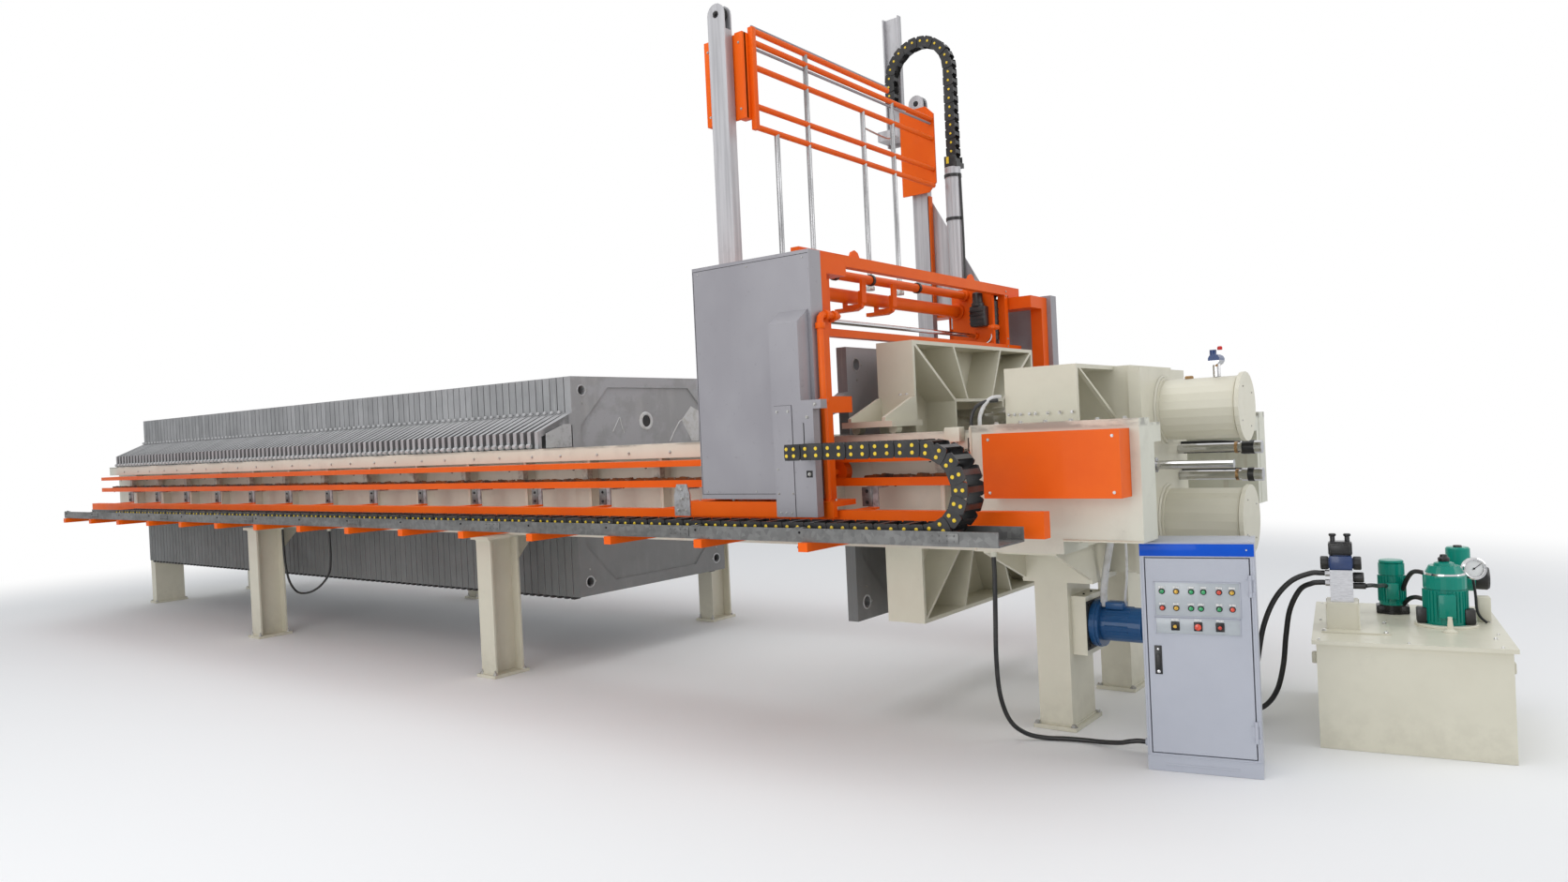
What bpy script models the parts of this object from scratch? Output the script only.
"""Plate filter press with a cloth washing carriage, oil power unit and control cabinet.

Metres, +Z up. The press runs along X: fixed head at -X, cylinders at +X. The side that shows
the cable tray faces -Y. Sizes below are written in the press's own frame, with y = 0 on its
centreline and z = 0 on the floor. The root empty then moves the whole press so that the
origin lies under its middle.
"""
import math

import bpy
import bmesh
from mathutils import Matrix, Vector

# General clearances
GAP = 0.0003
BITE = 0.002
RUN_CLEAR = 0.006
CENTRE_X = 0.0
CENTRE_Y = -0.165
ROUND = 24
SMALL_ROUND = 12
BAR_ROUND = 8
CORD_STEPS = 30

# Filter plates
PLATE_SIDE = 1.5
PLATE_LOW = 0.485
PLATE_PITCH = 0.0732
PLATES_PER_PACK = 31
PACKS = 3
PACK_RIGHT = 1.015
GROOVE = 0.009
GROOVE_DEEP = 0.018
END_RIM = 0.012
END_RIM_WIDE = 0.075
CORNER_CUT = 0.26
PORT_RADIUS = 0.032
PORT_INSET = 0.095
PORT_DEEP = 0.03
FEED_RADIUS = 0.045
FEED_RING = 0.065
FEED_RISE = 0.008
LOOSE_PLATE_LEFT = 3.182

# Plate handles, which rest on the beam tops
HANDLE_WIDE = 0.034
HANDLE_THICK = 0.03
HANDLE_ROOT_HIGH = 0.085
HANDLE_ROOT_LOW = 1.655
HANDLE_REACH = 0.285
HANDLE_KNEE = 1.60

# Side beams
BEAM_LOW = 0.94
BEAM_TOP = 1.504
BEAM_OUTER = 1.06
BEAM_INNER = 0.82
BEAM_LEFT = -5.965
BEAM_RIGHT = 4.93
TOP_FLANGE = 0.085
LOW_FLANGE = 0.03
WEB_OUTER = 0.975
WEB_THICK = 0.06
STIFFENER_THICK = 0.014
STIFFENER_PITCH = 0.62
STIFFENER_INSET = 0.012
BEAM_STEP_X = 4.58
BEAM_END_LOW = 1.0
CHEEK_LEFT = 4.15
CHEEK_PROUD = 0.045
CHEEK_RISE = 0.022

# Fixed head and its feet
HEAD_THICK = 0.29
HEAD_HALF = 0.62
HEAD_BLOCK_HIGH = 0.30
HEAD_BLOCK_LOW = 1.10
HEAD_RIB = 0.05
HEAD_RIB_DEEP = 0.07
HEAD_FOOT_OUTER = 0.66
HEAD_FOOT_INNER = 0.37
HEAD_FOOT_THICK = 0.10
HEAD_FOOT_OVERLAP = 0.08

# Legs
LEG_X = (-2.60, 0.585)
LEG_Y = 1.09
LEG_WIDE = 0.15
LEG_DEEP = 0.23
LEG_FLANGE = 0.014
LEG_WEB = 0.012
FOOT_PLATE = 0.02
FOOT_HALF_X = 0.095
FOOT_HALF_Y = 0.143
CAP_INNER = 0.80
GUSSET_DROP = 0.22
GUSSET_LIP = 0.03

# Guide rails on the outside of the beams
RAIL_OUTER = 1.20
RAIL_LEFT = -5.80
RAIL_PLATE = 0.009
RAIL_RISE = 0.316
RAIL_LOWER_BASE = BEAM_LOW + RAIL_RISE
WHEEL_RADIUS = 0.06
WHEEL_HEADROOM = 0.011
RAIL_UPPER_TOP = RAIL_LOWER_BASE + 2 * (RAIL_PLATE + WHEEL_RADIUS) + WHEEL_HEADROOM
RAIL_LIP_WIDE = 0.012
RAIL_UPPER_LIP = 0.033
RAIL_LOWER_LIP = 0.04
RAIL_POST_WIDE = 0.05
RAIL_POST_DEEP = 0.04

# Orange cable carrier beam, its arms and the grey tray
TRAY_BEAM_OUTER = 1.42
TRAY_BEAM_INNER = 1.36
TRAY_BEAM_LEFT = -5.43
TRAY_BEAM_RIGHT = 4.63
TRAY_BEAM_DROP = 0.101
TRAY_BEAM_TOP = RAIL_LOWER_BASE - TRAY_BEAM_DROP
TRAY_ARM_WIDE = 0.05
TRAY_ARM_HIGH = 0.04
TRAY_ARM_OUTER = 1.80
TRAY_CLIP_WIDE = 0.06
TRAY_CLIP_THICK = 0.01
TRAY_CLIP_OUTER = 1.22
TRAY_CLIP_INNER = 1.12
TRAY_RISE = 0.106
TRAY_LIP = 0.061
TRAY_LOW = BEAM_LOW + TRAY_RISE
TRAY_TOP = TRAY_LOW + TRAY_LIP
TRAY_FRONT = 1.77
TRAY_BACK = 1.53
TRAY_SHEET = 0.008
TRAY_LEFT = -5.10
TRAY_RIGHT = 4.59

# Energy chain in the tray
CHAIN_HIGH = 0.075
CHAIN_OUTER = 1.73
CHAIN_INNER = 1.57
CHAIN_LOOP_RADIUS = 0.2125
CHAIN_LOOP_X = 4.235
CHAIN_LEFT = -4.0
CHAIN_START = 3.535
CHAIN_TURN_LINKS = 9
LINK_GAP = 0.005
LINK_NOTCH = 0.009

# Follower, the movable head
FOLLOWER_LEFT = 3.44
FOLLOWER_DEEP = 0.22
FOLLOWER_LOW = 0.505
FOLLOWER_TOP = 1.985
FOLLOWER_FACE = 0.04
FOLLOWER_SHEET = 0.02
FOLLOWER_RIB = 0.016
HUB_HALF_Y = 0.30
HUB_LOW = 0.87
HUB_TOP = 1.67
SHOE_OUTER = 1.05
SHOE_INNER = 0.86
SHOE_PROUD = 0.04
SHOE_THICK = 0.03
SHOE_RISE = 0.035
LUG_TOP = 1.69
LUG_SHEET = 0.018
ROLLER_RADIUS = 0.026
ROLLER_WIDE = 0.05

# Cylinder seat, cylinders and pistons
SEAT_LEFT = 4.20
SEAT_BACK = 4.56
SEAT_TOP = 1.79
SEAT_SHEET = 0.02
SEAT_FRONT = 0.05
SEAT_CORE_HALF = 0.33
SEAT_CORE_LOW = 0.76
END_PLATE_HALF = 0.36
END_PLATE_LEFT = 4.64
END_PLATE_RIGHT = 4.70
END_PLATE_TOP = 1.77
CYLINDER_HIGH_Z = 1.557
CYLINDER_LOW_Z = 1.00
CYLINDER_RADIUS = 0.155
CYLINDER_RIGHT = 5.10
CYLINDER_RING = 0.172
CYLINDER_RING_LONG = 0.02
CYLINDER_END = 0.03
PISTON_RADIUS = 0.065
PISTON_CLEAR = 0.008
PISTON_RIGHT = 4.64
GUIDE_Y = 0.21
GUIDE_Z = 1.285
GUIDE_RADIUS = 0.022
GUIDE_RIGHT = 5.08
GUIDE_FLANGE = 0.038
GUIDE_FLANGE_LONG = 0.015
SENSOR_RADIUS = 0.026
SENSOR_HEAD = 0.034
SENSOR_RIGHT = 5.115
SENSOR_HIGH_Z = 1.349
SENSOR_LOW_Z = 1.209
SENSOR_HEAD_LONG = 0.10
TOP_VALVE_X = 4.965
TOP_VALVE_POST = 0.018
TOP_VALVE_POST_HIGH = 0.085
TOP_VALVE_BODY = 0.028
TOP_VALVE_BODY_LONG = 0.10
TOP_VALVE_KNOB = 0.016

# Orange side guards
GUARD_LEFT = 4.27
GUARD_RIGHT = 4.89
GUARD_LOW = 1.197
GUARD_TOP = 1.485
GUARD_OUTER = 1.23

# Columns at the cylinder end
COLUMN_LEFT = 4.20
COLUMN_RIGHT = 4.37
COLUMN_OUTER = 0.58
COLUMN_INNER = 0.28
COLUMN_BASE_PROUD = 0.025
HEADBOX_LEFT = 4.14
HEADBOX_RIGHT = 4.50
HEADBOX_LOW = 0.73
HEADBOX_INNER = 0.25
HEADBOX_OUTER = 1.0

# Drive unit on the near column
DRIVE_BRACKET_LONG = 0.075
DRIVE_LOW = 0.37
DRIVE_TOP = 0.66
DRIVE_HALF = 0.12
DRIVE_Y = 0.42
GEARBOX_LONG = 0.05
GEARBOX_RADIUS = 0.115
MOTOR_RADIUS = 0.085
MOTOR_LONG = 0.20
MOTOR_CAP_LONG = 0.04
MOTOR_CAP_RADIUS = 0.07

# Washing carriage, side frames
BASE_LEFT = 2.667
BASE_RIGHT = 3.62
BASE_DROP = 0.131
BASE_HIGH = 0.075
BASE_LOW = RAIL_LOWER_BASE - BASE_DROP
BASE_TOP = BASE_LOW + BASE_HIGH
BASE_OUTER = 1.475
BASE_WEB = 0.03
BASE_PLATE = 0.025
POST_OUTER = 1.375
POST_INNER = 1.285
POST_WIDE = 0.08
POST_LEFT_X = 2.84
POST_RIGHT_X = 3.47
FRAME_TOP = 2.38
CROSS_HIGH = 0.08
CROSS_LOW_Z = 1.62
WHEEL_INSET = 0.025
WHEEL_X = (POST_LEFT_X + WHEEL_INSET, POST_RIGHT_X - WHEEL_INSET)
WHEEL_WIDE = 0.05
WHEEL_OUTER = 1.18
AXLE_RADIUS = 0.016
PANEL_LEFT = 2.80
PANEL_RIGHT = 3.54
PANEL_STAND = 0.095
PANEL_OUTER = POST_OUTER + PANEL_STAND
PANEL_TOP = 2.395
PANEL_RISE = 0.012
PANEL_LOW = BASE_TOP + PANEL_RISE
DUCT_LEFT = 3.35
DUCT_RIGHT = 3.52
DUCT_PROUD = 0.09
DUCT_OUTER = PANEL_OUTER + DUCT_PROUD
DUCT_CLEAR = 0.028
DUCT_LOW = TRAY_TOP + DUCT_CLEAR
DUCT_SHOULDER = 2.05
DUCT_TOP = 2.115
DUCT_COVER_INSET = 0.01
DUCT_COVER_WIDE = 0.105
DUCT_COVER_THICK = 0.004
DUCT_COVER_TOP = 1.66
STAND_WIDE = 0.07
STAND_DEEP = 0.05
STAND_SHEET = 0.005
STAND_TOP = 1.64
STAND_ARM_LONG = 0.115
STAND_ARM_HIGH = 0.04
STOP_LEFT = 2.61
STOP_WIDE = 0.11
STOP_THICK = 0.006
STOP_SHOULDER = 0.11
STOP_HIGH = 0.165
STOP_TAPER = 0.02
PIPE_RADIUS = 0.017
PIPE_X = 3.56
PIPE_OUTER = 1.43
PIPE_INNER = 1.26
PIPE_BEND = 0.035
PIPE_BEND_STEPS = 3

# Masts
MAST_LEFT = 2.68
MAST_WIDE = 0.118
MAST_INNER = 1.05
MAST_DEEP = 0.062
MAST_LOW = 1.56
MAST_TOP = 3.74
EAR_TOP = 3.885
EAR_THICK = 0.008
EAR_HOLE = 0.02
CROSS_INNER = MAST_INNER + MAST_DEEP + GAP

# Orange gate between the side frames
GATE_X = 3.30
GATE_DEEP = 0.05
GATE_TOP = 2.455
GATE_BAR = 0.06
GATE_LOW = 2.02
GATE_LOW_BAR = 0.04
GATE_HALF = 1.10
GATE_POST = 0.05
UPPER_SHAFT_X = 3.10
UPPER_SHAFT_Z = 2.41
UPPER_SHAFT_RADIUS = 0.027
LOWER_SHAFT_X = 3.04
LOWER_SHAFT_Z = 2.308
LOWER_SHAFT_RADIUS = 0.04
SPRAY_X = 3.167
SPRAY_Z = 2.13
SPRAY_RADIUS = 0.014
SHAFT_HALF = 0.96
HOOK_Y = (-0.42, -0.08)
HOOK_BAR = 0.022
HOOK_DROP = 0.075
HOOK_REACH = 0.11
BRACKET_THICK = 0.03

# Lift motor, chain tube and lift chain on the far side
LIFT_MOTOR_RADIUS = 0.06
LIFT_MOTOR_Z = (2.10, 2.36)
TUBE_X = 3.005
TUBE_RADIUS = 0.056
TUBE_INSET = 0.004
TUBE_Y = MAST_INNER + MAST_DEEP - TUBE_RADIUS - TUBE_INSET
TUBE_LOW = 2.20
TUBE_TOP = 3.32
LIFT_CHAIN_INSET = 0.02
LIFT_CHAIN_WIDE = 0.08
LIFT_CHAIN_NEAR = MAST_INNER - LIFT_CHAIN_INSET
LIFT_CHAIN_Y = (LIFT_CHAIN_NEAR, LIFT_CHAIN_NEAR + LIFT_CHAIN_WIDE)
LIFT_CHAIN_LEFT = 2.50
LIFT_CHAIN_RIGHT = 3.045
LIFT_CHAIN_THICK = 0.075
LIFT_CHAIN_TOP = 4.29
LIFT_CHAIN_LEFT_END = 3.86
LIFT_CHAIN_TURN_LINKS = 12
BRACE_TOP_Z = 3.14
BRACE_RIGHT_X = 3.22
BRACE_THICK = 0.008

# Lifting frame
LIFT_X = 2.887
RAIL_RADIUS = 0.0165
LIFT_RAIL_Z = (3.67, 3.535, 3.322, 3.208)
LIFT_TOP_RAIL_Z = 3.733
LIFT_TOP_RAIL_END = 0.42
LIFT_CLEAR = 0.06
LIFT_HALF = MAST_INNER - LIFT_CLEAR
LIFT_BAR_X = (2.60, 2.82)
LIFT_BAR_WIDE = 0.055
LIFT_BAR_WRAP = 0.01
LIFT_BAR_SET = 0.005
LIFT_BAR_OUTER = MAST_INNER + LIFT_BAR_WRAP
LIFT_BAR_INNER = LIFT_HALF + LIFT_BAR_SET
LIFT_BAR_LOW = 3.25
LIFT_BAR_TOP = 3.715
LIFT_STRAP_THICK = 0.012
SLIDE_SHOE_LEFT = 2.70
SLIDE_SHOE_WIDE = 0.08
SLIDE_SHOE_HIGH = 0.06
SLIDE_SHOE_Z = (3.28, 3.62)
LIFT_PLATE_LEFT = 2.636
LIFT_PLATE_RIGHT = 2.905
LIFT_PLATE_LOW = 3.17
LIFT_PLATE_TOP = 3.77
LIFT_PLATE_THICK = 0.014
LIFT_PLATE_CUT = 0.06
ROD_Y = (-0.804, -0.50, 0.10, 0.46)
ROD_RADIUS = 0.0155
ROD_TOP_Z = (LIFT_RAIL_Z[3], LIFT_TOP_RAIL_Z, LIFT_RAIL_Z[1], LIFT_RAIL_Z[0])
ROD_LOW_Z = 2.40
CHANNEL_LEFT = 2.45
CHANNEL_RIGHT = 2.585
CHANNEL_PAST = 0.072
CHANNEL_DEEP = 0.04
CHANNEL_NEAR = MAST_INNER + CHANNEL_PAST
CHANNEL_Y = (CHANNEL_NEAR, CHANNEL_NEAR + CHANNEL_DEEP)
CHANNEL_LOW = 3.58
CHANNEL_TOP = 4.52
CHANNEL_SHEET = 0.01
CHANNEL_ARM_Z = (3.60, 3.67)

# Control cabinet
CABINET_CORNER = (4.861, -0.965)
CABINET_TURN = math.radians(12)
CABINET_WIDE = 0.455
CABINET_DEEP = 0.25
CABINET_HIGH = 0.985
CABINET_SHEET = 0.012
CABINET_RIM = 0.018
CABINET_BAND = 0.062
CABINET_PLINTH = 0.075
CABINET_CLEAR = 0.005
DOOR_THICK = 0.02
HINGE_OUT = 0.0075
HINGE_RADIUS = 0.0065
HINGE_LONG = 0.05
KNUCKLE_LONG = 0.02
LEAF_THICK = 0.005
LEAF_REACH = 0.017
HINGE_Z = (0.17, 0.78)

# Oil power unit
TANK_CORNER = (5.42, -0.312)
TANK_TURN = math.radians(9)
TANK_WIDE = 0.735
TANK_DEEP = 1.02
TANK_HIGH = 0.47
LID_PROUD = 0.018
LID_THICK = 0.018
PEDESTAL_AT = (0.045, 0.24)
PEDESTAL_SIZE = (0.13, 0.16)
PEDESTAL_HIGH = 0.13
BLOCK_SIZE = (0.095, 0.11)
BLOCK_HIGH = 0.15
VALVE_LONG = 0.17
VALVE_RADIUS = 0.026
VALVE_BODY = 0.062
VALVE_BODY_HIGH = 0.07
PILOT_LONG = 0.085
PILOT_DEEP = 0.06
PILOT_HIGH = 0.062
PILOT_KNOB_RADIUS = 0.011
PILOT_KNOB_HIGH = 0.024
PILOT_KNOB_INSET = 0.012
MOTOR_FOOT_HIGH = 0.012
MOTOR_FOOT_PROUD = 0.010
MOTOR_COWL_HIGH = 0.055
MOTOR_GROOVE = 0.005
SMALL_MOTOR_AT = (0.33, 0.78)
SMALL_MOTOR_RADIUS = 0.058
SMALL_MOTOR_HIGH = 0.25
MAIN_MOTOR_AT = (0.535, 0.50)
MAIN_MOTOR_RADIUS = 0.088
MAIN_MOTOR_HIGH = 0.28
MAIN_MOTOR_DOME = 0.05
SIDE_MOTOR_AT = (0.60, 0.86)
SIDE_MOTOR_RADIUS = 0.065
SIDE_MOTOR_LONG = 0.17
SIDE_MOTOR_Z = 0.66
SIDE_FOOT = 0.045

# Glands and ports that the cords run into
GLAND_RADIUS = 0.017
GLAND_LONG = 0.03
TRAY_GLAND = (4.205, -1.03)
LOOP_GLANDS = ((-2.48, -1.0), (-1.72, -1.0))
CABINET_GLAND = (0.20, 0.06)
PORT_STUB_RADIUS = 0.016
PORT_STUB_LONG = 0.02
BLOCK_PORT_RISE = (0.082, 0.127)
CYLINDER_PORT_X = 4.86
CYLINDER_PORT_Y = 0.05
CYLINDER_PORT_DROP = 0.18
PORT_BITE = 0.016

# Cords: points picked by hand along each route
TRAY_CABLE_RADIUS = 0.011
TRAY_CABLE_POINTS = (
    (4.205, -1.03, 0.9094), (4.205, -1.03, 0.80), (4.195, -1.02, 0.62), (4.18, -1.0, 0.42),
    (4.175, -0.965, 0.24), (4.19, -0.90, 0.105), (4.235, -0.83, 0.035), (4.31, -0.785, 0.0125),
    (4.40, -0.755, 0.0125), (4.49, -0.735, 0.0125), (4.58, -0.74, 0.018), (4.67, -0.77, 0.036),
    (4.7163, -0.7855, 0.052), (4.7553, -0.783, 0.06), (4.7894, -0.7757, 0.06),
)
LOOP_CABLE_RADIUS = 0.009
LOOP_CABLE_POINTS = (
    (-2.48, -1.0, 0.9094), (-2.48, -1.0, 0.80), (-2.465, -1.0, 0.62), (-2.41, -1.0, 0.47),
    (-2.30, -1.0, 0.385), (-2.16, -1.0, 0.375), (-2.0, -1.0, 0.41), (-1.86, -1.0, 0.475),
    (-1.75, -1.0, 0.57), (-1.72, -1.0, 0.70), (-1.72, -1.0, 0.83), (-1.72, -1.0, 0.9094),
)
HOSE_RADIUS = 0.0125
UPPER_HOSE_POINTS = (
    (5.4112, 0.0106, 0.7453), (5.3914, 0.0075, 0.7453), (5.35, 0.001, 0.7423), (5.27, -0.02, 0.705), (5.20, -0.05, 0.62),
    (5.15, -0.08, 0.49), (5.12, -0.10, 0.32), (5.092, -0.11, 0.155), (5.058, -0.105, 0.073),
    (4.976, -0.09, 0.039), (4.894, -0.07, 0.073), (4.86, -0.052, 0.155), (4.86, -0.05, 0.30), (4.86, -0.05, 0.47),
    (4.86, -0.05, 0.65), (4.86, -0.05, 0.8194),
)
LOWER_HOSE_POINTS = (
    (5.4112, 0.0106, 0.7003), (5.3914, 0.0075, 0.7003), (5.355, 0.0035, 0.6943), (5.30, 0.01, 0.66), (5.25, 0.02, 0.56),
    (5.225, 0.03, 0.43), (5.205, 0.04, 0.28), (5.17, 0.045, 0.15), (5.11, 0.045, 0.065),
    (5.03, 0.045, 0.035), (4.95, 0.045, 0.068), (4.888, 0.047, 0.145), (4.862, 0.05, 0.26),
    (4.86, 0.05, 0.46), (4.86, 0.05, 0.65), (4.86, 0.05, 0.8194),
)


bodies = {}
finishes = {}


def finish(name, colour, roughness, metallic=0.0):
    """Make one Principled material and remember it by name."""
    made = bpy.data.materials.new(name)
    made.use_nodes = True
    shader = made.node_tree.nodes["Principled BSDF"]
    shader.inputs["Base Color"].default_value = (*colour, 1.0)
    shader.inputs["Roughness"].default_value = roughness
    shader.inputs["Metallic"].default_value = metallic
    finishes[name] = made
    return made


def make_finishes():
    finish("cream_paint", (0.80, 0.77, 0.67), 0.45)
    finish("orange_paint", (0.85, 0.20, 0.02), 0.40)
    finish("plate_grey", (0.33, 0.34, 0.35), 0.60)
    finish("brushed_steel", (0.55, 0.55, 0.57), 0.38, 0.8)
    finish("chrome", (0.80, 0.80, 0.82), 0.15, 1.0)
    finish("black_plastic", (0.02, 0.02, 0.022), 0.50)
    finish("blue_paint", (0.05, 0.12, 0.22), 0.40)
    finish("green_paint", (0.02, 0.24, 0.20), 0.40)
    finish("cabinet_grey", (0.62, 0.65, 0.72), 0.40)


def empty_body(name, place, parent):
    """An empty on a joint's axis, which its body's pieces hang from."""
    anchor = bpy.data.objects.new(name, None)
    bpy.context.scene.collection.objects.link(anchor)
    anchor.parent = bodies[parent][0] if parent else None
    here = Vector(place)
    if parent:
        anchor.location = here - bodies[parent][1]
    bodies[name] = (anchor, here)
    return anchor


def solid(mesh_builder):
    """Turn a bmesh into a linked object with its faces pointing out."""
    bmesh.ops.recalc_face_normals(mesh_builder, faces=mesh_builder.faces)
    mesh = bpy.data.meshes.new("piece")
    mesh_builder.to_mesh(mesh)
    mesh_builder.free()
    made = bpy.data.objects.new("piece", mesh)
    bpy.context.scene.collection.objects.link(made)
    return made


def slab(low, high):
    """A block between two opposite corners."""
    build = bmesh.new()
    bmesh.ops.create_cube(build, size=1.0)
    low = Vector(low)
    high = Vector(high)
    span = high - low
    middle = (high + low) / 2
    for vert in build.verts:
        vert.co = Vector(vert.co[i] * span[i] + middle[i] for i in range(3))
    return solid(build)


def prism(outline, axis, start, end):
    """A closed outline pushed along X, Y or Z from start to end."""
    order = {"X": (2, 0, 1), "Y": (0, 2, 1), "Z": (0, 1, 2)}[axis]
    build = bmesh.new()
    loops = []
    for along in (start, end):
        ring = []
        for a, b in outline:
            values = (a, b, along)
            ring.append(build.verts.new(Vector(values[i] for i in order)))
        loops.append(ring)
    build.faces.new(loops[0])
    build.faces.new(loops[1])
    count = len(outline)
    for i in range(count):
        j = (i + 1) % count
        build.faces.new((loops[0][i], loops[0][j], loops[1][j], loops[1][i]))
    return solid(build)


def turned(profile, start, direction, sides=ROUND, closed=False):
    """Revolve (along, radius) points about the line through start along direction.

    An open profile begins and ends on the axis. A closed one is a ring's section.
    """
    axis = Vector(direction).normalized()
    side = axis.orthogonal().normalized()
    other = axis.cross(side)
    origin = Vector(start)
    build = bmesh.new()
    rings = []
    for along, radius in profile:
        centre = origin + axis * along
        if radius == 0:
            rings.append([build.verts.new(centre)])
            continue
        ring = []
        for i in range(sides):
            angle = 2 * math.pi * i / sides
            ring.append(build.verts.new(centre + (side * math.cos(angle) + other * math.sin(angle)) * radius))
        rings.append(ring)
    pairs = list(zip(rings, rings[1:]))
    if closed:
        pairs.append((rings[-1], rings[0]))
    for first, second in pairs:
        for i in range(sides):
            j = (i + 1) % sides
            corners = [first[i % len(first)], first[j % len(first)], second[j % len(second)], second[i % len(second)]]
            build.faces.new(list(dict.fromkeys(corners)))
    return solid(build)


def rod(start, end, radius, sides=ROUND):
    """A round bar between two points."""
    start = Vector(start)
    direction = Vector(end) - start
    profile = ((0, 0), (0, radius), (direction.length, radius), (direction.length, 0))
    return turned(profile, start, direction, sides)


def combine(first, others, operation):
    """Union with, or cut away, a list of pieces, and leave one plain mesh."""
    if not others:
        return first
    group = bpy.data.collections.new("group")
    for piece in others:
        group.objects.link(piece)
    step = first.modifiers.new("combine", "BOOLEAN")
    step.operation = operation
    step.operand_type = "COLLECTION"
    step.collection = group
    step.solver = "EXACT"
    depsgraph = bpy.context.evaluated_depsgraph_get()
    mesh = bpy.data.meshes.new_from_object(first.evaluated_get(depsgraph))
    made = bpy.data.objects.new("piece", mesh)
    bpy.context.scene.collection.objects.link(made)
    for piece in [first, *others]:
        bpy.data.objects.remove(piece)
    bpy.data.collections.remove(group)
    return made


def fuse(pieces):
    return combine(pieces[0], pieces[1:], "UNION")


def carve(piece, cutters):
    return combine(piece, cutters, "DIFFERENCE")


def mirrored(piece):
    """A copy of a piece on the other side of the press's centreline."""
    mesh = piece.data.copy()
    mesh.transform(Matrix.Scale(-1, 4, (0, 1, 0)))
    mesh.flip_normals()
    made = bpy.data.objects.new("piece", mesh)
    bpy.context.scene.collection.objects.link(made)
    return made


def turn_about(piece, corner, angle):
    """Turn a piece built in a unit's own corner frame and set it down at that corner."""
    piece.data.transform(Matrix.Translation((*corner, 0)) @ Matrix.Rotation(angle, 4, "Z"))
    return piece


def name_piece(piece, name, finish_name, body="press"):
    """Name a finished piece, give it its finish and hang it on its body."""
    anchor, here = bodies[body]
    build = bmesh.new()
    build.from_mesh(piece.data)
    bmesh.ops.dissolve_limit(build, angle_limit=0.0005, verts=build.verts, edges=build.edges)
    build.to_mesh(piece.data)
    build.free()
    piece.data.transform(Matrix.Translation(-here))
    piece.parent = anchor
    piece.name = name
    piece.data.name = name
    piece.data.materials.clear()
    piece.data.materials.append(finishes[finish_name])
    piece.data.shade_smooth()
    piece.data.set_sharp_from_angle(angle=math.radians(32))
    return piece


def name_pair(piece, name, finish_name, body="press"):
    """The near piece and its mirror image on the far side."""
    other = mirrored(piece)
    name_piece(piece, "near_" + name, finish_name, body)
    name_piece(other, "far_" + name, finish_name, body)


def smooth_route(points, count):
    """Read a Catmull-Rom curve through the route's own points."""
    route = [Vector(p) for p in points]
    route = [2 * route[0] - route[1], *route, 2 * route[-1] - route[-2]]
    spans = len(route) - 3
    found = []
    for i in range(count):
        t = spans * i / (count - 1)
        k = min(int(t), spans - 1)
        t -= k
        a, b, c, d = route[k:k + 4]
        found.append(0.5 * (2 * b + (c - a) * t + (2 * a - 5 * b + 4 * c - d) * t * t
                            + (3 * b - a - 3 * c + d) * t * t * t))
    return found


def cord(name, points, radius):
    """A black flexible tube along a route."""
    curve = bpy.data.curves.new(name, "CURVE")
    curve.dimensions = "3D"
    curve.bevel_depth = radius
    curve.bevel_resolution = 2
    curve.use_fill_caps = True
    route = smooth_route(points, CORD_STEPS)
    line = curve.splines.new("POLY")
    line.points.add(len(route) - 1)
    for spot, place in zip(line.points, route):
        spot.co = (*place, 1.0)
    made = bpy.data.objects.new(name, curve)
    bpy.context.scene.collection.objects.link(made)
    made.parent = bodies["press"][0]
    curve.materials.append(finishes["black_plastic"])
    return made


def pack_left():
    return PACK_RIGHT - PLATE_PITCH * (PLATES_PER_PACK * PACKS + 1)


def plate_top():
    return PLATE_LOW + PLATE_SIDE


def add_handle(build, root, side, middle):
    """Extrude a handle from the root face's corners out and down to the beam top."""
    half = HANDLE_WIDE / 2
    reach = PLATE_SIDE / 2 + HANDLE_REACH
    knee_in = reach - HANDLE_THICK
    knee_low = HANDLE_KNEE - HANDLE_THICK / 2
    knee_high = HANDLE_KNEE + HANDLE_THICK / 2
    sections = (
        ((side * knee_in, knee_low), (side * reach, knee_high)),
        ((side * knee_in, BEAM_TOP + GAP), (side * reach, BEAM_TOP + GAP)),
    )
    last = root
    for low, high in sections:
        ring = [
            build.verts.new((middle - half, *low)), build.verts.new((middle + half, *low)),
            build.verts.new((middle + half, *high)), build.verts.new((middle - half, *high)),
        ]
        for i in range(4):
            j = (i + 1) % 4
            build.faces.new((last[i], last[j], ring[j], ring[i]))
        last = ring
    build.faces.new(last)


def plate_ring(build, x, inset):
    """Eight corners round a plate: four corners and the ends of both handle roots."""
    half = PLATE_SIDE / 2 - inset
    low = PLATE_LOW + inset
    top = plate_top() - inset
    root_low = HANDLE_ROOT_LOW
    root_high = HANDLE_ROOT_LOW + HANDLE_ROOT_HIGH
    spots = (
        (-half, low), (half, low), (half, root_low), (half, root_high),
        (half, top), (-half, top), (-half, root_high), (-half, root_low),
    )
    return [build.verts.new((x, y, z)) for y, z in spots]


def plain_ring(build, x, inset):
    half = PLATE_SIDE / 2 - inset
    low = PLATE_LOW + inset
    top = plate_top() - inset
    return [build.verts.new((x, y, z)) for y, z in ((-half, low), (half, low), (half, top), (-half, top))]


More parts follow.
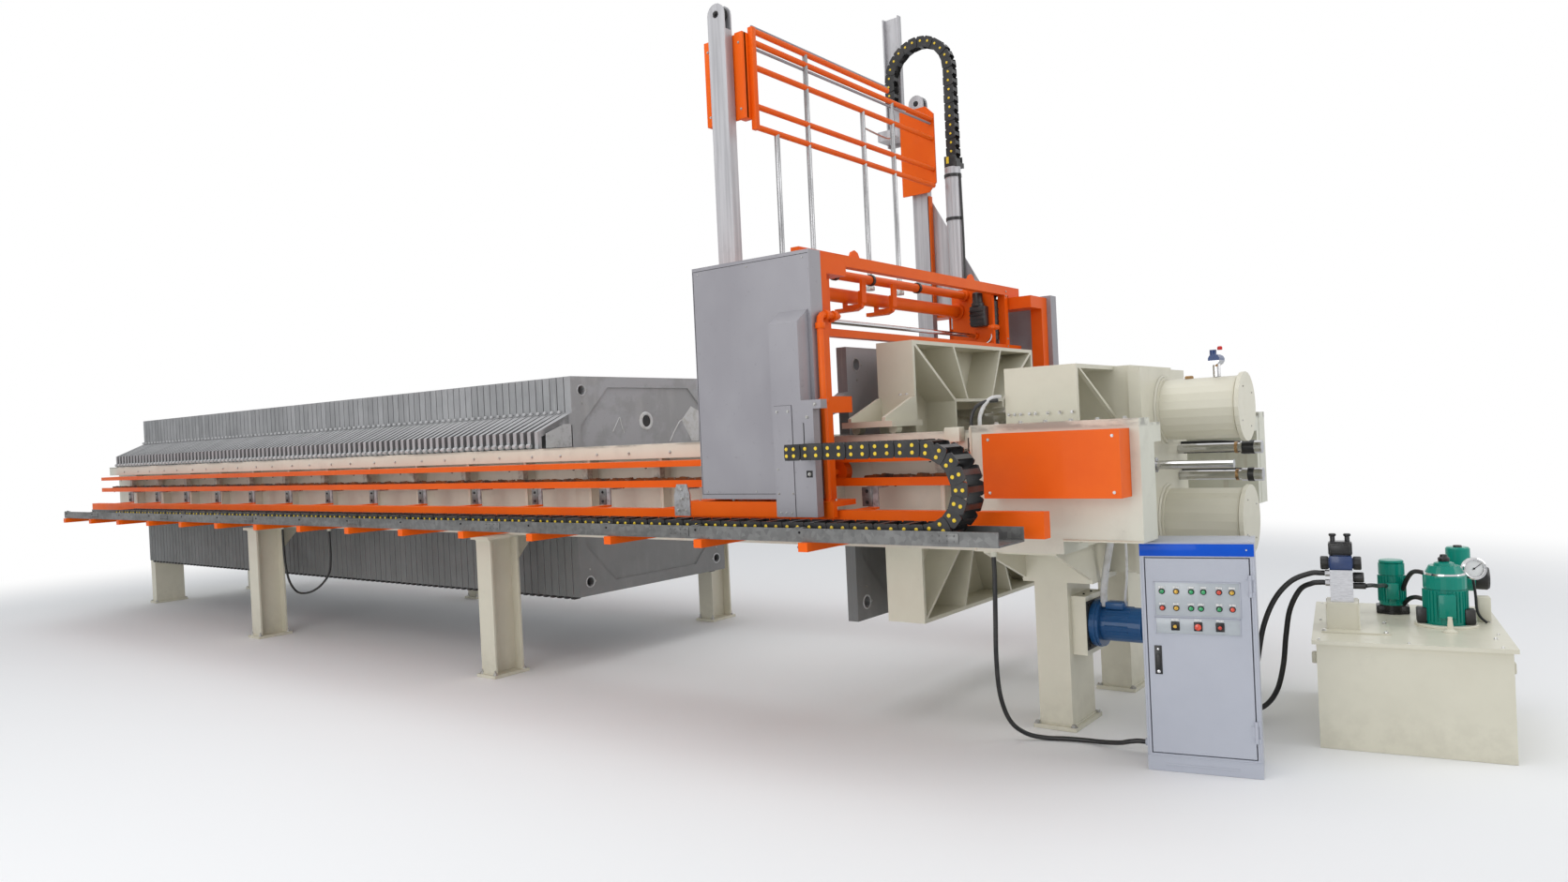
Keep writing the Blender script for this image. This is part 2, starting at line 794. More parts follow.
def plate_band(build, left, right):
    """One plate's edge band with its two handles, returned as its end rings."""
    first = plate_ring(build, left, 0)
    second = plate_ring(build, right, 0)
    for i in range(8):
        j = (i + 1) % 8
        if i in (2, 6):
            continue
        build.faces.new((first[i], first[j], second[j], second[i]))
    middle = (left + right) / 2
    add_handle(build, [first[2], second[2], second[3], first[3]], 1, middle)
    add_handle(build, [first[7], second[7], second[6], first[6]], -1, middle)
    return first, second


def step_down(build, ring, small):
    """The ring-shaped face from a plate's edge down to the groove beside it."""
    build.faces.new((ring[0], ring[1], small[1], small[0]))
    build.faces.new((ring[1], ring[2], ring[3], ring[4], small[2], small[1]))
    build.faces.new((ring[4], ring[5], small[3], small[2]))
    build.faces.new((ring[5], ring[6], ring[7], ring[0], small[0], small[3]))


def plate_pack(left, count):
    """A pack of pressed plates with grooves between them, from bmesh rings."""
    build = bmesh.new()
    x = left + GAP
    floor = None
    for i in range(count):
        right = left + PLATE_PITCH * (i + 1) - GROOVE
        first, second = plate_band(build, x, right)
        if floor is None:
            build.faces.new(first)
        else:
            step_down(build, first, floor)
        x = left + PLATE_PITCH * (i + 1)
        if i == count - 1:
            build.faces.new(second)
            break
        near = plain_ring(build, right, GROOVE_DEEP)
        step_down(build, second, near)
        floor = plain_ring(build, x, GROOVE_DEEP)
        for k in range(4):
            m = (k + 1) % 4
            build.faces.new((near[k], near[m], floor[m], floor[k]))
    return solid(build)


def single_plate(left, right):
    """One plate by itself, with its rim, chamfered recess, corner ports and feed eye."""
    build = bmesh.new()
    first, second = plate_band(build, left, right)
    build.faces.new(first)
    build.faces.new(second)
    plate = solid(build)
    half = PLATE_SIDE / 2 - END_RIM_WIDE
    cut = CORNER_CUT
    middle = PLATE_LOW + PLATE_SIDE / 2
    outline = (
        (half - cut, -half), (half, cut - half), (half, half - cut), (half - cut, half),
        (cut - half, half), (-half, half - cut), (-half, cut - half), (cut - half, -half),
    )
    outline = [(y, z + middle) for y, z in outline]
    sunk = right - END_RIM
    cutters = [
        prism(outline, "X", sunk, right + BITE),
        prism(outline, "X", left - BITE, left + END_RIM),
    ]
    port = PLATE_SIDE / 2 - PORT_INSET
    for y in (-port, port):
        for z in (middle - port, middle + port):
            cutters.append(rod((left - BITE, y, z), (right + BITE, y, z), PORT_RADIUS, SMALL_ROUND))
    plate = carve(plate, cutters)
    ring = rod((left + END_RIM - BITE, 0, middle), (sunk + FEED_RISE, 0, middle), FEED_RING)
    plate = fuse([plate, ring])
    eye = rod((left - BITE, 0, middle), (right + BITE, 0, middle), FEED_RADIUS)
    return carve(plate, [eye])


def build_plates():
    left = pack_left()
    for i in range(PACKS):
        start = left + PLATE_PITCH * PLATES_PER_PACK * i
        name_piece(plate_pack(start, PLATES_PER_PACK), f"plate_pack_{i + 1}", "plate_grey")
    end_left = PACK_RIGHT - PLATE_PITCH + GAP
    name_piece(single_plate(end_left, PACK_RIGHT - GROOVE), "end_filter_plate", "plate_grey")
    loose_right = LOOSE_PLATE_LEFT + PLATE_PITCH - GROOVE
    name_piece(single_plate(LOOSE_PLATE_LEFT, loose_right), "loose_filter_plate", "plate_grey")


def stiffener_places():
    count = int((CHEEK_LEFT - BEAM_LEFT) / STIFFENER_PITCH)
    return [BEAM_LEFT + STIFFENER_PITCH * (i + 1) for i in range(count)]


def build_beams():
    """Welded I-beams with outer stiffeners and a boxed end at the cylinder seat."""
    flange_under = BEAM_TOP - TOP_FLANGE
    web_in = WEB_OUTER - WEB_THICK
    flange_over = BEAM_LOW + LOW_FLANGE
    outline = (
        (-BEAM_OUTER, BEAM_LOW), (-BEAM_INNER, BEAM_LOW), (-BEAM_INNER, flange_over),
        (-web_in, flange_over), (-web_in, flange_under), (-BEAM_INNER, flange_under),
        (-BEAM_INNER, BEAM_TOP), (-BEAM_OUTER, BEAM_TOP), (-BEAM_OUTER, flange_under),
        (-WEB_OUTER, flange_under), (-WEB_OUTER, flange_over), (-BEAM_OUTER, flange_over),
    )
    pieces = [prism(outline, "X", BEAM_LEFT, BEAM_RIGHT)]
    for x in stiffener_places():
        pieces.append(slab(
            (x, STIFFENER_INSET - BEAM_OUTER, flange_over - BITE),
            (x + STIFFENER_THICK, BITE - WEB_OUTER, flange_under + BITE)))
    pieces.append(slab(
        (CHEEK_LEFT, -BEAM_OUTER - CHEEK_PROUD, BEAM_LOW + BITE),
        (BEAM_RIGHT + BITE, BITE - WEB_OUTER, BEAM_TOP + CHEEK_RISE)))
    step = slab(
        (BEAM_STEP_X, -BEAM_OUTER - CHEEK_PROUD - BITE, BEAM_LOW - BITE),
        (BEAM_RIGHT + 2 * BITE, BITE - BEAM_INNER, BEAM_END_LOW))
    near = carve(fuse(pieces), [step])
    name_piece(mirrored(near), "far_side_beam", "cream_paint")
    glands = []
    for x, y in (TRAY_GLAND, *LOOP_GLANDS):
        glands.append(rod((x, y, BEAM_LOW - GLAND_LONG), (x, y, BEAM_LOW + BITE), GLAND_RADIUS, SMALL_ROUND))
    name_piece(fuse([near, *glands]), "near_side_beam", "cream_paint")


def build_head():
    """Fixed head: the pressure plate the pack closes against, on two wide feet."""
    right = pack_left() - GAP
    left = right - HEAD_THICK
    face = left + HEAD_RIB_DEEP
    top = plate_top()
    pieces = [slab((face, -HEAD_HALF, PLATE_LOW), (right, HEAD_HALF, top))]
    ribs = 4
    for i in range(ribs):
        y = -HEAD_HALF + (2 * HEAD_HALF - HEAD_RIB) * i / (ribs - 1)
        pieces.append(slab((left, y, PLATE_LOW), (face + BITE, y + HEAD_RIB, top)))
    for side in (-1, 1):
        inner = side * (HEAD_HALF - BITE)
        outer = side * (BEAM_INNER - GAP)
        pieces.append(slab(
            (face, min(inner, outer), HEAD_BLOCK_LOW),
            (right, max(inner, outer), HEAD_BLOCK_LOW + HEAD_BLOCK_HIGH)))
        foot_in = side * HEAD_FOOT_INNER
        foot_out = side * HEAD_FOOT_OUTER
        low_y = min(foot_in, foot_out)
        high_y = max(foot_in, foot_out)
        foot_left = face + BITE
        foot_right = foot_left + HEAD_FOOT_THICK
        pieces.append(slab((foot_left, low_y, 0), (foot_right, high_y, PLATE_LOW + HEAD_FOOT_OVERLAP)))
        pieces.append(slab(
            (foot_left - FOOT_PLATE, low_y - FOOT_PLATE, 0),
            (foot_right + FOOT_PLATE, high_y + FOOT_PLATE, FOOT_PLATE)))
    name_piece(fuse(pieces), "fixed_head", "cream_paint")


def leg(x):
    """H-section leg with base plate, cap plate and an inner gusset."""
    half_x = LEG_WIDE / 2
    outer = -LEG_Y - LEG_DEEP / 2
    inner = -LEG_Y + LEG_DEEP / 2
    top = BEAM_LOW - GAP
    web = LEG_WEB / 2
    outline = (
        (x - half_x, outer), (x + half_x, outer), (x + half_x, outer + LEG_FLANGE),
        (x + web, outer + LEG_FLANGE), (x + web, inner - LEG_FLANGE), (x + half_x, inner - LEG_FLANGE),
        (x + half_x, inner), (x - half_x, inner), (x - half_x, inner - LEG_FLANGE),
        (x - web, inner - LEG_FLANGE), (x - web, outer + LEG_FLANGE), (x - half_x, outer + LEG_FLANGE),
    )
    body = prism(outline, "Z", FOOT_PLATE - BITE, top - FOOT_PLATE + BITE)
    base = slab((x - FOOT_HALF_X, -LEG_Y - FOOT_HALF_Y, 0), (x + FOOT_HALF_X, -LEG_Y + FOOT_HALF_Y, FOOT_PLATE))
    cap = slab((x - FOOT_HALF_X, -LEG_Y - FOOT_HALF_Y, top - FOOT_PLATE), (x + FOOT_HALF_X, -CAP_INNER, top))
    cap_under = top - FOOT_PLATE + BITE
    gusset = prism(
        ((inner - BITE, cap_under - GUSSET_DROP), (inner - BITE, cap_under), (-CAP_INNER - BITE, cap_under),
         (-CAP_INNER - BITE, cap_under - GUSSET_LIP)), "X", x - web, x + web)
    return fuse([body, base, cap, gusset])


def build_legs():
    for x, place in zip(LEG_X, ("rear", "middle")):
        name_pair(leg(x), f"{place}_leg", "cream_paint")


def build_guide_rails():
    """Upper and lower guide rails with the posts that hold them off the beam."""
    back = -BEAM_OUTER - GAP
    right = CHEEK_LEFT - GAP
    upper_base = RAIL_UPPER_TOP - RAIL_PLATE
    lip_in = RAIL_LIP_WIDE - RAIL_OUTER
    upper = (
        (-RAIL_OUTER, RAIL_UPPER_TOP - RAIL_UPPER_LIP), (lip_in, RAIL_UPPER_TOP - RAIL_UPPER_LIP),
        (lip_in, upper_base), (back, upper_base), (back, RAIL_UPPER_TOP), (-RAIL_OUTER, RAIL_UPPER_TOP),
    )
    lower_top = RAIL_LOWER_BASE + RAIL_PLATE
    lower = (
        (-RAIL_OUTER, RAIL_LOWER_BASE), (back, RAIL_LOWER_BASE), (back, lower_top), (lip_in, lower_top),
        (lip_in, RAIL_LOWER_BASE + RAIL_LOWER_LIP), (-RAIL_OUTER, RAIL_LOWER_BASE + RAIL_LOWER_LIP),
    )
    pieces = [prism(upper, "X", RAIL_LEFT, right), prism(lower, "X", RAIL_LEFT, right)]
    for x in stiffener_places():
        pieces.append(slab(
            (x, back - RAIL_POST_DEEP, lower_top - BITE),
            (x + RAIL_POST_WIDE, back, upper_base + BITE)))
    name_pair(fuse(pieces), "guide_rails", "orange_paint")


def arm_places():
    count = int((TRAY_RIGHT - TRAY_LEFT) / STIFFENER_PITCH)
    start = BEAM_LEFT + STIFFENER_PITCH / 2
    places = [start + STIFFENER_PITCH * (i + 1) for i in range(count + 2)]
    return [x for x in places if TRAY_LEFT < x < CHEEK_LEFT - TRAY_ARM_WIDE]


def build_tray():
    """Orange carrier beam on cross arms, with the grey cable tray lying on the arms."""
    arm_top = TRAY_LOW - GAP
    pieces = [slab(
        (TRAY_BEAM_LEFT, -TRAY_BEAM_OUTER, arm_top - BITE), (TRAY_BEAM_RIGHT, -TRAY_BEAM_INNER, TRAY_BEAM_TOP))]
    web_face = -WEB_OUTER - GAP
    for x in arm_places():
        pieces.append(slab(
            (x, -TRAY_ARM_OUTER, arm_top - TRAY_ARM_HIGH), (x + TRAY_ARM_WIDE, web_face, arm_top)))
        under = RAIL_LOWER_BASE - GAP
        clip_right = x + TRAY_CLIP_WIDE
        pieces.append(slab(
            (x, -TRAY_BEAM_INNER - BITE, TRAY_BEAM_TOP - TRAY_CLIP_THICK),
            (clip_right, TRAY_CLIP_THICK - TRAY_CLIP_OUTER, TRAY_BEAM_TOP)))
        pieces.append(slab(
            (x, -TRAY_CLIP_OUTER, TRAY_BEAM_TOP - BITE), (clip_right, TRAY_CLIP_THICK - TRAY_CLIP_OUTER, under)))
        pieces.append(slab((x, -TRAY_CLIP_OUTER, under - TRAY_CLIP_THICK), (clip_right, -TRAY_CLIP_INNER, under)))
    name_piece(fuse(pieces), "cable_carrier_beam", "orange_paint")
    floor = TRAY_LOW + TRAY_SHEET
    outline = (
        (-TRAY_FRONT, TRAY_LOW), (-TRAY_BACK, TRAY_LOW), (-TRAY_BACK, TRAY_TOP),
        (-TRAY_BACK - TRAY_SHEET, TRAY_TOP), (-TRAY_BACK - TRAY_SHEET, floor),
        (TRAY_SHEET - TRAY_FRONT, floor), (TRAY_SHEET - TRAY_FRONT, TRAY_TOP), (-TRAY_FRONT, TRAY_TOP),
    )
    name_piece(prism(outline, "X", TRAY_LEFT, TRAY_RIGHT), "cable_tray", "brushed_steel")


def half_circle(centre, radius, start, steps):
    """Points on half a turn from the start angle, clockwise in the outline's plane."""
    found = []
    for i in range(steps + 1):
        angle = start - math.pi * i / steps
        found.append((centre[0] + radius * math.cos(angle), centre[1] + radius * math.sin(angle)))
    return found


def link_pitch(outer_radius, high, turn_links):
    """Length of a chain link, from the links that make half a turn at its middle line."""
    return math.pi * (outer_radius - high / 2) / turn_links


def joints_from(start, end, pitch):
    """Joints of a straight run of links, counted from the turn that it leaves."""
    run = Vector(end) - Vector(start)
    count = int((run.length - 2 * LINK_GAP) / pitch)
    return [tuple(Vector(start) + run.normalized() * pitch * (i + 1)) for i in range(count)]


def cut_joints(path):
    """A V at each inner point of a path, to its right: the gaps between the chain's links."""
    found = [path[0]]
    for before, here, after in zip(path, path[1:], path[2:]):
        here = Vector(here)
        back = (here - Vector(before)).normalized()
        onward = (Vector(after) - here).normalized()
        inward = Vector((back.y + onward.y, -back.x - onward.x)).normalized()
        found.append(tuple(here - back * LINK_GAP))
        found.append(tuple(here + inward * LINK_NOTCH))
        found.append(tuple(here + onward * LINK_GAP))
    return [*found, path[-1]]


def build_tray_chain():
    """Energy chain lying in the tray, looped back to the carriage as one fixed loop."""
    low = TRAY_LOW + TRAY_SHEET + GAP
    centre = (CHAIN_LOOP_X, low + CHAIN_LOOP_RADIUS)
    inner_radius = CHAIN_LOOP_RADIUS - CHAIN_HIGH
    pitch = link_pitch(CHAIN_LOOP_RADIUS, CHAIN_HIGH, CHAIN_TURN_LINKS)
    outer = half_circle(centre, CHAIN_LOOP_RADIUS, math.pi / 2, CHAIN_TURN_LINKS)
    inner = half_circle(centre, inner_radius, math.pi / 2, CHAIN_TURN_LINKS)
    start = (CHAIN_START, centre[1] + CHAIN_LOOP_RADIUS)
    finish_top = (CHAIN_START, centre[1] + inner_radius)
    tray_end = (CHAIN_LEFT, low + CHAIN_HIGH)
    outside = [start, *reversed(joints_from(outer[0], start, pitch)), *outer]
    inside = [tray_end, *reversed(joints_from(inner[-1], tray_end, pitch)), *reversed(inner),
              *joints_from(inner[0], finish_top, pitch), finish_top]
    outline = [*cut_joints(outside), (CHAIN_LEFT, low), *cut_joints(inside)]
    name_piece(prism(outline, "Y", -CHAIN_OUTER, -CHAIN_INNER), "tray_energy_chain", "black_plastic")


def rib_plate(start, end, thick, left, right):
    """A flat rib between two (y, z) points, standing in the follower's depth."""
    a = Vector(start)
    b = Vector(end)
    along = (b - a).normalized()
    across = Vector((-along.y, along.x)) * thick / 2
    corners = (a - across, b - across, b + across, a + across)
    return prism([tuple(c) for c in corners], "X", left, right)


def build_follower():
    """Movable head: a face plate, a rim and ribs that run out from the thrust hub."""
    left = FOLLOWER_LEFT
    right = left + FOLLOWER_DEEP
    half = PLATE_SIDE / 2
    face = left + FOLLOWER_FACE
    shell = slab((left, -half, FOLLOWER_LOW), (right, half, FOLLOWER_TOP))
    sheet = FOLLOWER_SHEET
    hollow = slab((face, sheet - half, FOLLOWER_LOW + sheet), (right + BITE, half - sheet, FOLLOWER_TOP - sheet))
    shell = carve(shell, [hollow])
    start = face - BITE
    pieces = [shell]
    hub = HUB_HALF_Y
    rim_y = half - sheet / 2
    rim_low = FOLLOWER_LOW + sheet / 2
    rim_top = FOLLOWER_TOP - sheet / 2
    rib = FOLLOWER_RIB
    for side in (-1, 1):
        pieces.append(rib_plate((side * hub, HUB_TOP), (side * rim_y, rim_top), rib, start, right))
        pieces.append(rib_plate((side * hub, HUB_LOW), (side * rim_y, rim_low), rib, start, right))
        pieces.append(rib_plate((side * hub, HUB_LOW), (side * hub, HUB_TOP), rib, start, right))
        pieces.append(rib_plate((side * hub / 2, HUB_TOP), (side * hub, rim_top), rib, start, right))
        pieces.append(rib_plate((side * hub / 2, HUB_LOW), (side * hub, rim_low), rib, start, right))
    for z in (HUB_LOW, HUB_TOP):
        pieces.append(rib_plate((-hub - rib / 2, z), (hub + rib / 2, z), rib, start, right))
    shoe_low = BEAM_TOP + SHOE_RISE
    shoe_top = shoe_low + SHOE_THICK
    for side in (-1, 1):
        inner = side * SHOE_INNER
        outer = side * SHOE_OUTER
        wall = side * (half - BITE)
        near = min(wall, outer)
        far = max(wall, outer)
        pieces.append(slab((left - SHOE_PROUD, near, shoe_low), (right + SHOE_PROUD, far, shoe_top)))
        for x in (left, right - LUG_SHEET):
            lug = ((wall, shoe_top - BITE), (outer, shoe_top - BITE), (outer, shoe_top + LUG_SHEET),
                   (side * (half + LUG_SHEET), LUG_TOP), (wall, LUG_TOP))
            pieces.append(prism(lug, "X", x, x + LUG_SHEET))
        middle = (inner + outer) / 2
        axle_z = BEAM_TOP + GAP + ROLLER_RADIUS * math.cos(math.pi / SMALL_ROUND)
        for x in (left, right):
            pieces.append(rod(
                (x, middle - ROLLER_WIDE / 2, axle_z), (x, middle + ROLLER_WIDE / 2, axle_z), ROLLER_RADIUS, SMALL_ROUND))
    name_piece(fuse(pieces), "follower_head", "cream_paint", "follower")
    for z, name in ((CYLINDER_HIGH_Z, "upper"), (CYLINDER_LOW_Z, "lower")):
        piston = rod((face + GAP, 0, z), (PISTON_RIGHT, 0, z), PISTON_RADIUS)
        name_piece(piston, f"{name}_piston_rod", "chrome", "follower")


def build_seat():
    """Cylinder seat between the beams: front plate, open top box, core block and end plate."""
    half = BEAM_INNER - GAP
    low = BEAM_LOW
    core = SEAT_CORE_HALF
    front = SEAT_LEFT + SEAT_FRONT
    over = BEAM_TOP + CHEEK_RISE + GAP
    top = SEAT_TOP
    sheet = SEAT_SHEET
    pieces = [
        slab((SEAT_LEFT, -half, low), (front, half, top)),
        slab((front - BITE, -half, top - sheet), (SEAT_BACK, half, top)),
        slab((front - BITE, -core, SEAT_CORE_LOW), (END_PLATE_LEFT + BITE, core, top - BITE)),
        slab((END_PLATE_LEFT, -END_PLATE_HALF, SEAT_CORE_LOW - BITE), (END_PLATE_RIGHT, END_PLATE_HALF, END_PLATE_TOP)),
        slab((front - BITE, -half, low), (SEAT_BACK, half, low + sheet)),
    ]
    for side in (-1, 1):
        outer = side * half
        inner = side * (half - sheet)
        pieces.append(slab((front - BITE, min(outer, inner), over), (SEAT_BACK, max(outer, inner), top - BITE)))
        wall = side * (core - BITE)
        gusset = ((wall, over), (outer, top - BITE), (outer - side * sheet, top - BITE), (wall, over + sheet))
        pieces.append(prism(gusset, "X", SEAT_BACK - sheet, SEAT_BACK))
    seat = fuse(pieces)
    bores = []
    for z in (CYLINDER_HIGH_Z, CYLINDER_LOW_Z):
        bores.append(rod(
            (SEAT_LEFT - BITE, 0, z), (END_PLATE_RIGHT + BITE, 0, z), PISTON_RADIUS + PISTON_CLEAR))
    name_piece(carve(seat, bores), "cylinder_seat", "cream_paint")


def build_cylinders():
    """Two oil cylinders, one above the other, bored for the piston rods."""
    left = END_PLATE_RIGHT + GAP
    bore = PISTON_RADIUS + PISTON_CLEAR
    long = CYLINDER_RIGHT - left
    ring = CYLINDER_RING_LONG
    deep = long - CYLINDER_END
    profile = (
        (deep, 0), (deep, bore), (0, bore), (0, CYLINDER_RING), (ring, CYLINDER_RING), (ring, CYLINDER_RADIUS),
        (long - ring, CYLINDER_RADIUS), (long - ring, CYLINDER_RING), (long, CYLINDER_RING), (long, 0),
    )
    name_piece(turned(profile, (left, 0, CYLINDER_HIGH_Z), (1, 0, 0)), "upper_cylinder", "cream_paint")
    lower = turned(profile, (left, 0, CYLINDER_LOW_Z), (1, 0, 0))
    ports = []
    x = CYLINDER_PORT_X
    inside = CYLINDER_LOW_Z - CYLINDER_RADIUS + PORT_BITE
    for y in (-CYLINDER_PORT_Y, CYLINDER_PORT_Y):
        ports.append(rod((x, y, CYLINDER_LOW_Z - CYLINDER_PORT_DROP), (x, y, inside), PORT_STUB_RADIUS, SMALL_ROUND))
    name_piece(fuse([lower, *ports]), "lower_cylinder", "cream_paint")


def build_guide_tubes():
    """Chrome tie tube on the near side and two position sensor tubes on the far side."""
    left = END_PLATE_RIGHT + GAP
    flange = GUIDE_FLANGE_LONG
    long = GUIDE_RIGHT - left
    near = (
        (0, 0), (0, GUIDE_FLANGE), (flange, GUIDE_FLANGE), (flange, GUIDE_RADIUS),
        (long, GUIDE_RADIUS), (long, 0),
    )
    name_piece(turned(near, (left, -GUIDE_Y, GUIDE_Z), (1, 0, 0), SMALL_ROUND), "near_tie_tube", "chrome")
    long = SENSOR_RIGHT - left
    head = long - SENSOR_HEAD_LONG
    far = (
        (0, 0), (0, SENSOR_RADIUS), (head, SENSOR_RADIUS), (head, SENSOR_HEAD),
        (long, SENSOR_HEAD), (long, 0),
    )
    for z, name in ((SENSOR_HIGH_Z, "upper"), (SENSOR_LOW_Z, "lower")):
        name_piece(turned(far, (left, GUIDE_Y, z), (1, 0, 0), SMALL_ROUND), f"{name}_sensor_tube", "chrome")


def build_top_valve():
    """Small valve that stands on the upper cylinder."""
    base = CYLINDER_HIGH_Z + CYLINDER_RADIUS + GAP
    body = base + TOP_VALVE_POST_HIGH
    half = TOP_VALVE_BODY_LONG / 2
    x = TOP_VALVE_X
    pieces = [
        rod((x, 0, base), (x, 0, body), TOP_VALVE_POST, SMALL_ROUND),
        rod((x, -half, body), (x, half, body), TOP_VALVE_BODY, SMALL_ROUND),
        rod((x - TOP_VALVE_BODY / 2, 0, body), (x - TOP_VALVE_BODY / 2, 0, body + half), TOP_VALVE_KNOB, SMALL_ROUND),
    ]
    name_piece(fuse(pieces), "top_valve", "blue_paint")


def build_guards():
    face = -BEAM_OUTER - CHEEK_PROUD - GAP
    guard = slab((GUARD_LEFT, -GUARD_OUTER, GUARD_LOW), (GUARD_RIGHT, face, GUARD_TOP))
    name_pair(guard, "drive_guard", "orange_paint")


def build_columns():
    """Box columns under the cylinder seat. The near one also carries the drive's bracket box."""
    top = BEAM_LOW - GAP
    proud = COLUMN_BASE_PROUD
    pieces = [
        slab((COLUMN_LEFT, -COLUMN_OUTER, FOOT_PLATE - BITE), (COLUMN_RIGHT, -COLUMN_INNER, HEADBOX_LOW + BITE)),
        slab((COLUMN_LEFT - proud, -COLUMN_OUTER - proud, 0), (COLUMN_RIGHT + proud, -COLUMN_INNER + proud, FOOT_PLATE)),
        slab((HEADBOX_LEFT, -COLUMN_OUTER, HEADBOX_LOW), (HEADBOX_RIGHT, -HEADBOX_INNER, SEAT_CORE_LOW - BITE - GAP)),
    ]
    core = -SEAT_CORE_HALF - GAP
    end = -END_PLATE_HALF - GAP
    pieces.append(slab((HEADBOX_LEFT, -COLUMN_OUTER, SEAT_CORE_LOW - 2 * BITE), (HEADBOX_RIGHT, end, top)))
    pieces.append(slab((HEADBOX_LEFT, -HEADBOX_OUTER, top - FOOT_PLATE), (HEADBOX_RIGHT, end, top)))
    for x in (HEADBOX_LEFT, HEADBOX_RIGHT - LUG_SHEET):
        outline = (
            (BITE - COLUMN_OUTER, HEADBOX_LOW + FOOT_PLATE), (BITE - COLUMN_OUTER, top - BITE),
            (BITE - HEADBOX_OUTER, top - BITE), (BITE - HEADBOX_OUTER, top - FOOT_PLATE))
        pieces.append(prism(outline, "X", x, x + LUG_SHEET))
    near = fuse(pieces)
    name_piece(mirrored(near), "far_column", "cream_paint")
    bracket = slab(
        (COLUMN_RIGHT - BITE, -DRIVE_Y - DRIVE_HALF, DRIVE_LOW),
        (COLUMN_RIGHT + DRIVE_BRACKET_LONG, DRIVE_HALF - DRIVE_Y, DRIVE_TOP))
    name_piece(fuse([near, bracket]), "near_column", "cream_paint")


def build_drive():
    """Reducer and motor on the near column's bracket box."""
    middle = (DRIVE_LOW + DRIVE_TOP) / 2
    gear = COLUMN_RIGHT + DRIVE_BRACKET_LONG + GAP
    long = GEARBOX_LONG
    body_end = long + MOTOR_LONG
    end = body_end + MOTOR_CAP_LONG
    profile = (
        (0, 0), (0, GEARBOX_RADIUS), (long, GEARBOX_RADIUS), (long, MOTOR_RADIUS), (body_end, MOTOR_RADIUS),
        (body_end, MOTOR_CAP_RADIUS), (end, MOTOR_CAP_RADIUS), (end, 0),
    )
    name_piece(turned(profile, (gear, -DRIVE_Y, middle), (1, 0, 0)), "drive_motor", "blue_paint")


def side_frame():
    """Near side frame of the carriage: base beam, posts, crosspieces, axles and wheels."""
    rail_floor = RAIL_LOWER_BASE + RAIL_PLATE
    axle_z = rail_floor + GAP + WHEEL_RADIUS
    pieces = [
        slab((BASE_LEFT, -BASE_OUTER, BASE_LOW), (BASE_RIGHT, BASE_WEB - BASE_OUTER, BASE_TOP)),
        slab((BASE_LEFT, BASE_WEB - BASE_OUTER - BITE, BASE_TOP - BASE_PLATE), (BASE_RIGHT, -POST_INNER, BASE_TOP)),
    ]
    for x in (POST_LEFT_X, POST_RIGHT_X):
        pieces.append(slab((x - POST_WIDE / 2, -POST_OUTER, BASE_TOP - BITE), (x + POST_WIDE / 2, -POST_INNER, FRAME_TOP)))
    inner_post = -POST_INNER - BITE
    for z in (CROSS_LOW_Z, FRAME_TOP - CROSS_HIGH):
        pieces.append(slab(
            (MAST_LEFT, -POST_INNER - BITE, z), (POST_RIGHT_X + POST_WIDE / 2, -CROSS_INNER, z + CROSS_HIGH)))
    for x in WHEEL_X:
        pieces.append(rod((x, inner_post, axle_z), (x, WHEEL_WIDE - WHEEL_OUTER - BITE, axle_z), AXLE_RADIUS, SMALL_ROUND))
        pieces.append(rod((x, -WHEEL_OUTER, axle_z), (x, WHEEL_WIDE - WHEEL_OUTER, axle_z), WHEEL_RADIUS))
    return fuse(pieces)


def swept_bar(points, radius, sides):
    """A round bar along a route, with a mitre at each of its points."""
    route = [Vector(p) for p in points]
    build = bmesh.new()
    start = (route[1] - route[0]).normalized()
    side = start.orthogonal().normalized()
    other = start.cross(side)
    rings = []
    ring = []
    for i in range(sides):
        angle = 2 * math.pi * i / sides
        ring.append(route[0] + (side * math.cos(angle) + other * math.sin(angle)) * radius)
    rings.append(ring)
    for i in range(1, len(route)):
        along = (route[i] - route[i - 1]).normalized()
        onward = (route[min(i + 1, len(route) - 1)] - route[i]).normalized()
        mitre = (along + onward).normalized()
        ring = [spot + along * (route[i] - spot).dot(mitre) / along.dot(mitre) for spot in rings[-1]]
        rings.append(ring)
    rings = [[build.verts.new(spot) for spot in ring] for ring in rings]
    build.faces.new(rings[0])
    build.faces.new(rings[-1])
    for first, second in zip(rings, rings[1:]):
        for i in range(sides):
            j = (i + 1) % sides
            build.faces.new((first[i], first[j], second[j], second[i]))
    return solid(build)


def with_bends(points, radius, steps):
    """Round the corners of a route, as a pipe's elbows do."""
    route = [Vector(p) for p in points]
    found = [route[0]]
    for before, here, after in zip(route, route[1:], route[2:]):
        first = here + (before - here).normalized() * radius
        last = here + (after - here).normalized() * radius
        for i in range(steps + 1):
            t = i / steps
            found.append(first * (1 - t) ** 2 + here * 2 * t * (1 - t) + last * t ** 2)
    return [*found, route[-1]]


